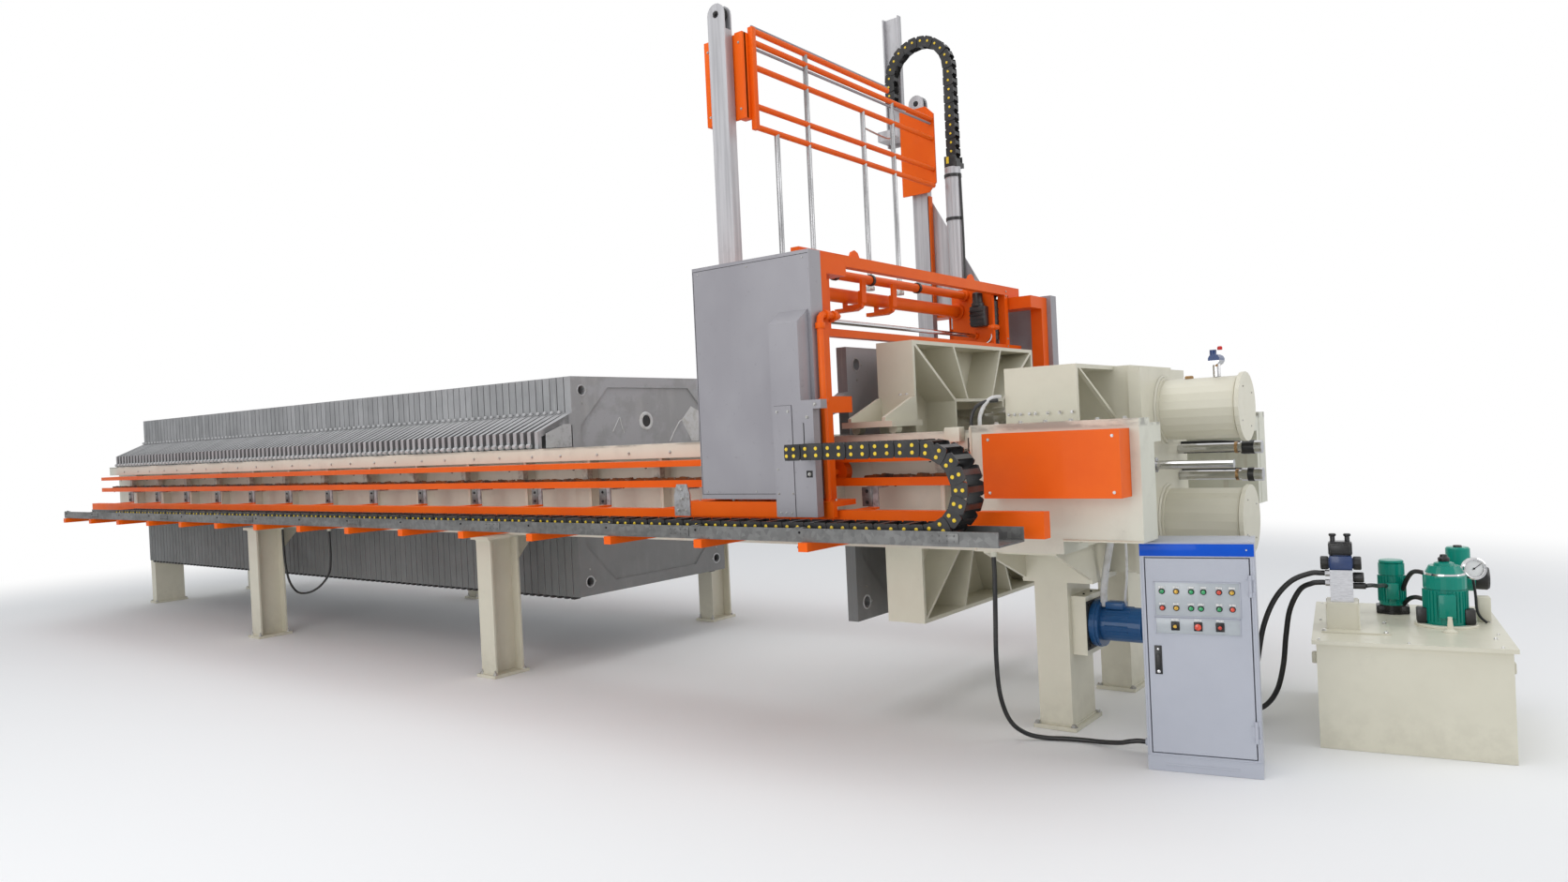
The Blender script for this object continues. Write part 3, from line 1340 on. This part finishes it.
def build_water_pipe():
    """Orange pipe up the near side of the carriage and across to the spray bar."""
    cross_z = GATE_LOW + GATE_LOW_BAR + RUN_CLEAR + PIPE_RADIUS + BITE
    route = (
        (PIPE_X, -PIPE_OUTER, BASE_TOP + GAP), (PIPE_X, -PIPE_OUTER, cross_z), (PIPE_X, -PIPE_INNER, cross_z),
        (SPRAY_X, -PIPE_INNER, cross_z), (SPRAY_X, -SHAFT_HALF - BRACKET_THICK - GAP, cross_z),
    )
    pipe = swept_bar(with_bends(route, PIPE_BEND, PIPE_BEND_STEPS), PIPE_RADIUS, BAR_ROUND)
    name_piece(pipe, "water_pipe", "orange_paint", "carriage")


def build_carriage_sides():
    """Side frames and their sheet covers. The near cover carries the cable duct and its stand."""
    near_frame = side_frame()
    name_piece(mirrored(near_frame), "far_carriage_frame", "orange_paint", "carriage")
    stop_right = STOP_LEFT + STOP_WIDE
    stop = prism((
        (STOP_LEFT, BASE_LOW), (stop_right, BASE_LOW), (stop_right, BASE_LOW + STOP_SHOULDER),
        (stop_right - STOP_TAPER, BASE_LOW + STOP_HIGH), (STOP_LEFT + STOP_TAPER, BASE_LOW + STOP_HIGH),
        (STOP_LEFT, BASE_LOW + STOP_SHOULDER)), "Y", -BASE_OUTER - STOP_THICK, BITE - BASE_OUTER)
    name_piece(fuse([near_frame, stop]), "near_carriage_frame", "orange_paint", "carriage")
    near = slab((PANEL_LEFT, -PANEL_OUTER, PANEL_LOW), (PANEL_RIGHT, -POST_OUTER - GAP, PANEL_TOP))
    name_piece(mirrored(near), "far_carriage_panel", "brushed_steel", "carriage")
    face = BITE - PANEL_OUTER
    outline = (
        (-DUCT_OUTER, PANEL_LOW), (face, PANEL_LOW), (face, DUCT_TOP), (-DUCT_OUTER, DUCT_SHOULDER),
    )
    duct = prism(outline, "X", DUCT_LEFT, DUCT_RIGHT)
    foot_face = -BASE_OUTER - GAP
    foot = slab((DUCT_LEFT, -DUCT_OUTER, DUCT_LOW), (DUCT_RIGHT, foot_face, PANEL_LOW + BITE))
    cover_left = DUCT_LEFT + DUCT_COVER_INSET
    cover = slab(
        (cover_left, -DUCT_OUTER - DUCT_COVER_THICK, DUCT_LOW),
        (cover_left + DUCT_COVER_WIDE, BITE - DUCT_OUTER, DUCT_COVER_TOP))
    left = DUCT_RIGHT - BITE
    right = left + STAND_WIDE
    back = STAND_DEEP - DUCT_OUTER
    sheet = STAND_SHEET
    stand = prism((
        (left, -DUCT_OUTER), (right, -DUCT_OUTER), (right, back), (right - sheet, back),
        (right - sheet, sheet - DUCT_OUTER), (left + sheet, sheet - DUCT_OUTER), (left + sheet, back), (left, back)),
        "Z", DUCT_LOW, STAND_TOP)
    arm = slab(
        (left, -DUCT_OUTER, STAND_TOP - BITE),
        (left + STAND_ARM_LONG, back, STAND_TOP + STAND_ARM_HIGH))
    name_piece(fuse([near, duct, foot, cover, stand, arm]), "near_carriage_panel", "brushed_steel", "carriage")


def build_masts():
    """Lift masts with sheave ears. The far one has a brace that carries the chain tube."""
    inner = -MAST_INNER
    outer = inner - MAST_DEEP
    right = MAST_LEFT + MAST_WIDE
    pieces = [slab((MAST_LEFT, outer, MAST_LOW), (right, inner, MAST_TOP))]
    middle = MAST_LEFT + MAST_WIDE / 2
    radius = MAST_WIDE / 2
    arc = half_circle((middle, EAR_TOP - radius), radius, math.pi, 8)
    outline = [(MAST_LEFT, MAST_TOP - BITE), *arc, (right, MAST_TOP - BITE)]
    for start in (outer, inner - EAR_THICK):
        pieces.append(prism(outline, "Y", start, start + EAR_THICK))
    mast = fuse(pieces)
    hole = rod((middle, outer - BITE, EAR_TOP - radius), (middle, inner + BITE, EAR_TOP - radius), EAR_HOLE, SMALL_ROUND)
    near = carve(mast, [hole])
    far = mirrored(near)
    name_piece(near, "near_mast", "brushed_steel", "carriage")
    inside = right - BITE
    brace = prism(
        ((inside, FRAME_TOP + GAP), (BRACE_RIGHT_X, FRAME_TOP + GAP), (inside, BRACE_TOP_Z)), "Y",
        MAST_INNER + MAST_DEEP - BRACE_THICK, MAST_INNER + MAST_DEEP)
    tube = rod((TUBE_X, TUBE_Y, TUBE_LOW), (TUBE_X, TUBE_Y, TUBE_TOP), TUBE_RADIUS)
    name_piece(fuse([far, brace, tube]), "far_mast", "brushed_steel", "carriage")


def build_gate():
    """Orange gate across the press, with the wash shafts, hooks and spray bar behind it."""
    half = POST_INNER - GAP
    right = GATE_X + GATE_DEEP
    pieces = [
        slab((GATE_X, -half, GATE_TOP - GATE_BAR), (right, half, GATE_TOP)),
        slab((GATE_X, -half, GATE_LOW), (right, half, GATE_LOW + GATE_LOW_BAR)),
    ]
    for low_y in (-half, CROSS_INNER):
        pieces.append(slab(
            (GATE_X, low_y, FRAME_TOP + GAP), (right, low_y + half - CROSS_INNER, GATE_TOP - GATE_BAR + BITE)))
    for side in (-1, 1):
        a = side * (GATE_HALF - GATE_POST)
        b = side * GATE_HALF
        pieces.append(slab((GATE_X, min(a, b), GATE_LOW + BITE), (right, max(a, b), GATE_TOP - BITE)))
        shaft = side * SHAFT_HALF
        c = shaft + side * BRACKET_THICK
        pieces.append(slab(
            (LOWER_SHAFT_X - LOWER_SHAFT_RADIUS, min(shaft, c), GATE_LOW + GATE_LOW_BAR + BITE),
            (GATE_X + BITE, max(shaft, c), GATE_TOP - BITE)))
    name_piece(fuse(pieces), "carriage_gate", "orange_paint", "carriage")
    end = SHAFT_HALF - GAP
    name_piece(rod(
        (UPPER_SHAFT_X, -end, UPPER_SHAFT_Z), (UPPER_SHAFT_X, end, UPPER_SHAFT_Z), UPPER_SHAFT_RADIUS, SMALL_ROUND),
        "upper_wash_shaft", "orange_paint", "carriage")
    name_piece(rod(
        (SPRAY_X, -end, SPRAY_Z), (SPRAY_X, end, SPRAY_Z), SPRAY_RADIUS, SMALL_ROUND),
        "spray_bar", "chrome", "carriage")
    pieces = [rod(
        (LOWER_SHAFT_X, -end, LOWER_SHAFT_Z), (LOWER_SHAFT_X, end, LOWER_SHAFT_Z), LOWER_SHAFT_RADIUS)]
    low = LOWER_SHAFT_Z - HOOK_DROP
    start = LOWER_SHAFT_X + LOWER_SHAFT_RADIUS - HOOK_BAR / 2
    for y in HOOK_Y:
        outline = (
            (start, low), (LOWER_SHAFT_X + HOOK_REACH, low), (LOWER_SHAFT_X + HOOK_REACH, LOWER_SHAFT_Z + HOOK_BAR),
            (LOWER_SHAFT_X + HOOK_REACH - HOOK_BAR, LOWER_SHAFT_Z + HOOK_BAR),
            (LOWER_SHAFT_X + HOOK_REACH - HOOK_BAR, low + HOOK_BAR), (LOWER_SHAFT_X, low + HOOK_BAR),
            (LOWER_SHAFT_X, LOWER_SHAFT_Z), (LOWER_SHAFT_X - HOOK_BAR, LOWER_SHAFT_Z), (LOWER_SHAFT_X - HOOK_BAR, low),
        )
        pieces.append(prism(outline, "Y", y, y + HOOK_BAR))
    name_piece(fuse(pieces), "lower_wash_shaft", "orange_paint", "carriage")


def build_lift_drive():
    """Lift motor and the fixed loop of lift chain on the far side."""
    low, high = LIFT_MOTOR_Z
    y = SHAFT_HALF + BRACKET_THICK + GAP + LIFT_MOTOR_RADIUS
    x = GATE_X - GAP - LIFT_MOTOR_RADIUS
    motor = rod((x, y, low), (x, y, high), LIFT_MOTOR_RADIUS)
    name_piece(motor, "lift_motor", "black_plastic", "carriage")
    outer_radius = (LIFT_CHAIN_RIGHT - LIFT_CHAIN_LEFT) / 2
    centre = ((LIFT_CHAIN_RIGHT + LIFT_CHAIN_LEFT) / 2, LIFT_CHAIN_TOP - outer_radius)
    inner_radius = outer_radius - LIFT_CHAIN_THICK
    pitch = link_pitch(outer_radius, LIFT_CHAIN_THICK, LIFT_CHAIN_TURN_LINKS)
    outer = half_circle(centre, outer_radius, math.pi, LIFT_CHAIN_TURN_LINKS)
    inner = half_circle(centre, inner_radius, math.pi, LIFT_CHAIN_TURN_LINKS)
    low_left = (LIFT_CHAIN_LEFT, LIFT_CHAIN_LEFT_END)
    low_left_in = (LIFT_CHAIN_LEFT + LIFT_CHAIN_THICK, LIFT_CHAIN_LEFT_END)
    low_right = (LIFT_CHAIN_RIGHT, TUBE_TOP + GAP)
    low_right_in = (LIFT_CHAIN_RIGHT - LIFT_CHAIN_THICK, TUBE_TOP + GAP)
    outside = [low_left, *reversed(joints_from(outer[0], low_left, pitch)), *outer,
               *joints_from(outer[-1], low_right, pitch), low_right]
    inside = [low_right_in, *reversed(joints_from(inner[-1], low_right_in, pitch)), *reversed(inner),
              *joints_from(inner[0], low_left_in, pitch), low_left_in]
    outline = [*cut_joints(outside), *cut_joints(inside)]
    name_piece(prism(outline, "Y", *LIFT_CHAIN_Y), "lift_energy_chain", "black_plastic", "carriage")


def build_lifting_frame():
    """Orange lifting frame round the near mast, with chrome rods and the chain channel."""
    x = LIFT_X
    pieces = []
    near = -LIFT_HALF
    for z in LIFT_RAIL_Z:
        pieces.append(rod((x, near, z), (x, LIFT_HALF + BITE, z), RAIL_RADIUS, BAR_ROUND))
    pieces.append(rod((x, near, LIFT_TOP_RAIL_Z), (x, LIFT_TOP_RAIL_END, LIFT_TOP_RAIL_Z), RAIL_RADIUS, BAR_ROUND))
    strap_out = -MAST_INNER + RUN_CLEAR
    bar_right = LIFT_BAR_X[1] + LIFT_BAR_WIDE
    pieces.append(slab(
        (LIFT_BAR_X[0], strap_out, LIFT_BAR_LOW), (bar_right, strap_out + LIFT_STRAP_THICK, LIFT_BAR_TOP)))
    for z in SLIDE_SHOE_Z:
        pieces.append(slab(
            (SLIDE_SHOE_LEFT, GAP - MAST_INNER, z),
            (SLIDE_SHOE_LEFT + SLIDE_SHOE_WIDE, strap_out + BITE, z + SLIDE_SHOE_HIGH)))
    for left in LIFT_BAR_X:
        pieces.append(slab(
            (left, -LIFT_BAR_OUTER, LIFT_BAR_LOW - BITE), (left + LIFT_BAR_WIDE, -LIFT_BAR_INNER, LIFT_BAR_TOP + BITE)))
    spine_z = LIFT_RAIL_Z[3] - RAIL_RADIUS
    pieces.append(slab(
        (x - RAIL_RADIUS, near - RAIL_RADIUS, spine_z), (x + RAIL_RADIUS, near + RAIL_RADIUS, LIFT_TOP_RAIL_Z + RAIL_RADIUS)))
    cut = LIFT_PLATE_CUT
    outline = (
        (LIFT_PLATE_LEFT, LIFT_PLATE_LOW), (LIFT_PLATE_RIGHT - cut, LIFT_PLATE_LOW), (LIFT_PLATE_RIGHT, LIFT_PLATE_LOW + cut),
        (LIFT_PLATE_RIGHT, LIFT_PLATE_TOP - cut), (LIFT_PLATE_RIGHT - cut, LIFT_PLATE_TOP), (LIFT_PLATE_LEFT, LIFT_PLATE_TOP),
    )
    pieces.append(prism(outline, "Y", LIFT_HALF, LIFT_HALF + LIFT_PLATE_THICK))
    for y, top in zip(ROD_Y, ROD_TOP_Z):
        pieces.append(rod((x, y, ROD_LOW_Z), (x, y, top), ROD_RADIUS, BAR_ROUND))
    low, high = CHANNEL_ARM_Z
    pieces.append(slab(
        (CHANNEL_RIGHT - CHANNEL_SHEET, LIFT_HALF, low), (LIFT_PLATE_LEFT + BITE, LIFT_HALF + LIFT_PLATE_THICK, high)))
    pieces.append(slab(
        (CHANNEL_LEFT, LIFT_HALF, low), (CHANNEL_RIGHT, CHANNEL_Y[0] + BITE, high)))
    near_y, far_y = CHANNEL_Y
    sheet = CHANNEL_SHEET
    channel = (
        (CHANNEL_LEFT, near_y), (CHANNEL_LEFT + sheet, near_y), (CHANNEL_LEFT + sheet, far_y - sheet),
        (CHANNEL_RIGHT - sheet, far_y - sheet), (CHANNEL_RIGHT - sheet, near_y), (CHANNEL_RIGHT, near_y),
        (CHANNEL_RIGHT, far_y), (CHANNEL_LEFT, far_y),
    )
    pieces.append(prism(channel, "Z", CHANNEL_LOW, CHANNEL_TOP))
    name_piece(fuse(pieces), "lifting_frame", "orange_paint", "lift")


def hinge_spot():
    """The door's hinge in the cabinet's own corner frame."""
    return Vector((CABINET_WIDE - CABINET_RIM - CABINET_CLEAR / 2, -HINGE_OUT, 0))


def cabinet_point(local):
    turned_point = Matrix.Rotation(CABINET_TURN, 3, "Z") @ Vector(local)
    return turned_point + Vector((*CABINET_CORNER, 0))


def knuckle(low, high, side):
    """A stretch of hinge barrel with the leaf that carries it on one side."""
    x, y, z = hinge_spot()
    reach = x + side * LEAF_REACH
    barrel = rod((x, y, low), (x, y, high), HINGE_RADIUS, SMALL_ROUND)
    leaf = slab((min(x, reach), -LEAF_THICK, low), (max(x, reach), BITE, high))
    return [barrel, leaf]


def build_cabinet():
    """Sheet steel cabinet, open behind its door, and the door that closes it."""
    sheet = CABINET_SHEET
    top = CABINET_HIGH - CABINET_BAND
    back_of_doorway = DOOR_THICK + CABINET_CLEAR
    back_of_rim = back_of_doorway + sheet
    shell = slab((0, 0, 0), (CABINET_WIDE, CABINET_DEEP, CABINET_HIGH))
    inside = slab(
        (sheet, back_of_rim, CABINET_PLINTH), (CABINET_WIDE - sheet, CABINET_DEEP - sheet, top + sheet))
    doorway = slab(
        (CABINET_RIM, -BITE, CABINET_PLINTH), (CABINET_WIDE - CABINET_RIM, back_of_doorway, top))
    mouth = slab(
        (CABINET_RIM + sheet, DOOR_THICK, CABINET_PLINTH + sheet),
        (CABINET_WIDE - CABINET_RIM - sheet, back_of_rim + BITE, top - sheet))
    for cutter in (inside, doorway, mouth):
        shell = carve(shell, [cutter])
    y, z = CABINET_GLAND
    shell = fuse([shell, rod((-GLAND_LONG, y, z), (BITE, y, z), GLAND_RADIUS, SMALL_ROUND)])
    for low in HINGE_Z:
        high = low + HINGE_LONG
        shell = fuse([shell, *knuckle(low - GAP - KNUCKLE_LONG, low - GAP, 1)])
        shell = fuse([shell, *knuckle(high + GAP, high + GAP + KNUCKLE_LONG, 1)])
    name_piece(turn_about(shell, CABINET_CORNER, CABINET_TURN), "control_cabinet", "cabinet_grey")
    edge = CABINET_RIM + CABINET_CLEAR
    door = slab(
        (edge, 0, CABINET_PLINTH + CABINET_CLEAR), (CABINET_WIDE - edge, DOOR_THICK, top - CABINET_CLEAR))
    for low in HINGE_Z:
        door = fuse([door, *knuckle(low, low + HINGE_LONG, -1)])
    name_piece(turn_about(door, CABINET_CORNER, CABINET_TURN), "cabinet_door", "cabinet_grey", "door")


def build_power_unit():
    """Oil tank with an overhanging lid, the valve stack and the electric motors on it."""
    lid_low = TANK_HIGH
    lid_top = TANK_HIGH + LID_THICK
    deck = lid_top + GAP
    px, py = PEDESTAL_AT
    sx, sy = PEDESTAL_SIZE
    tank = fuse([
        slab((0, 0, 0), (TANK_WIDE, TANK_DEEP, lid_low + BITE)),
        slab((-LID_PROUD, -LID_PROUD, lid_low), (TANK_WIDE + LID_PROUD, TANK_DEEP + LID_PROUD, lid_top)),
        slab((px, py, lid_top - BITE), (px + sx, py + sy, lid_top + PEDESTAL_HIGH)),
    ])
    name_piece(turn_about(tank, TANK_CORNER, TANK_TURN), "oil_tank", "cream_paint")
    base = lid_top + PEDESTAL_HIGH + GAP
    mx = px + sx / 2
    my = py + sy / 2
    bx, by = BLOCK_SIZE
    top = base + BLOCK_HIGH
    valve_z = top + VALVE_RADIUS
    half = VALVE_BODY / 2
    pilot_low = top + VALVE_BODY_HIGH - BITE
    pilot_top = pilot_low + PILOT_HIGH
    knob_reach = PILOT_LONG / 2 - PILOT_KNOB_INSET
    knobs = [rod(
        (x, my, pilot_top - BITE), (x, my, pilot_top + PILOT_KNOB_HIGH), PILOT_KNOB_RADIUS, SMALL_ROUND)
        for x in (mx - knob_reach, mx + knob_reach)]
    side = mx - bx / 2
    ports = [rod(
        (side - PORT_STUB_LONG, my, base + rise), (side + BITE, my, base + rise), PORT_STUB_RADIUS, SMALL_ROUND)
        for rise in BLOCK_PORT_RISE]
    block = fuse([
        slab((mx - bx / 2, my - by / 2, base), (mx + bx / 2, my + by / 2, top)),
        *ports,
        slab((mx - half, my - half, top - BITE), (mx + half, my + half, top + VALVE_BODY_HIGH)),
        rod((mx - VALVE_LONG / 2, my, valve_z), (mx + VALVE_LONG / 2, my, valve_z), VALVE_RADIUS, SMALL_ROUND),
        slab((mx - PILOT_LONG / 2, my - PILOT_DEEP / 2, pilot_low), (mx + PILOT_LONG / 2, my + PILOT_DEEP / 2, pilot_top)),
        *knobs,
    ])
    name_piece(turn_about(block, TANK_CORNER, TANK_TURN), "valve_block", "blue_paint")
    motors = (
        ("transfer_motor", SMALL_MOTOR_AT, SMALL_MOTOR_RADIUS, SMALL_MOTOR_HIGH, 0),
        ("main_motor", MAIN_MOTOR_AT, MAIN_MOTOR_RADIUS, MAIN_MOTOR_HIGH, MAIN_MOTOR_DOME),
    )
    for name, place, radius, high, dome in motors:
        neck = radius - dome / 2
        foot = MOTOR_FOOT_HIGH
        wide = radius + MOTOR_FOOT_PROUD
        cowl = high - dome - MOTOR_COWL_HIGH
        profile = (
            (0, 0), (0, wide), (foot, wide), (foot, radius), (cowl - MOTOR_GROOVE, radius),
            (cowl - MOTOR_GROOVE, radius - MOTOR_GROOVE), (cowl, radius - MOTOR_GROOVE), (cowl, radius),
            (high - dome, radius), (high, neck), (high, 0))
        motor = turned(profile, (*place, deck), (0, 0, 1))
        name_piece(turn_about(motor, TANK_CORNER, TANK_TURN), name, "green_paint")
    x, y = SIDE_MOTOR_AT
    left = x - SIDE_MOTOR_LONG / 2
    right = x + SIDE_MOTOR_LONG / 2
    side = fuse([
        rod((left, y, SIDE_MOTOR_Z), (right, y, SIDE_MOTOR_Z), SIDE_MOTOR_RADIUS),
        slab((x - SIDE_FOOT, y - SIDE_FOOT, deck), (x + SIDE_FOOT, y + SIDE_FOOT, SIDE_MOTOR_Z)),
    ])
    name_piece(turn_about(side, TANK_CORNER, TANK_TURN), "side_motor", "green_paint")


def build_cords():
    cord("tray_cable", TRAY_CABLE_POINTS, TRAY_CABLE_RADIUS)
    cord("loop_cable", LOOP_CABLE_POINTS, LOOP_CABLE_RADIUS)
    cord("upper_hose", UPPER_HOSE_POINTS, HOSE_RADIUS)
    cord("lower_hose", LOWER_HOSE_POINTS, HOSE_RADIUS)


def build_press():
    for old in list(bpy.data.objects):
        bpy.data.objects.remove(old)
    make_finishes()
    root = empty_body("press", (0, 0, 0), None)
    root.location = (-CENTRE_X, -CENTRE_Y, 0)
    empty_body("follower", (FOLLOWER_LEFT, 0, BEAM_TOP), "press")
    empty_body("carriage", (WHEEL_X[0], 0, RAIL_LOWER_BASE), "press")
    empty_body("lift", (LIFT_X, 0, LIFT_TOP_RAIL_Z), "carriage")
    empty_body("door", cabinet_point(hinge_spot()), "press")
    build_head()
    build_plates()
    build_beams()
    build_legs()
    build_guide_rails()
    build_tray()
    build_tray_chain()
    build_follower()
    build_seat()
    build_cylinders()
    build_guide_tubes()
    build_top_valve()
    build_guards()
    build_columns()
    build_drive()
    build_carriage_sides()
    build_water_pipe()
    build_masts()
    build_gate()
    build_lift_drive()
    build_lifting_frame()
    build_cabinet()
    build_power_unit()
    build_cords()


build_press()
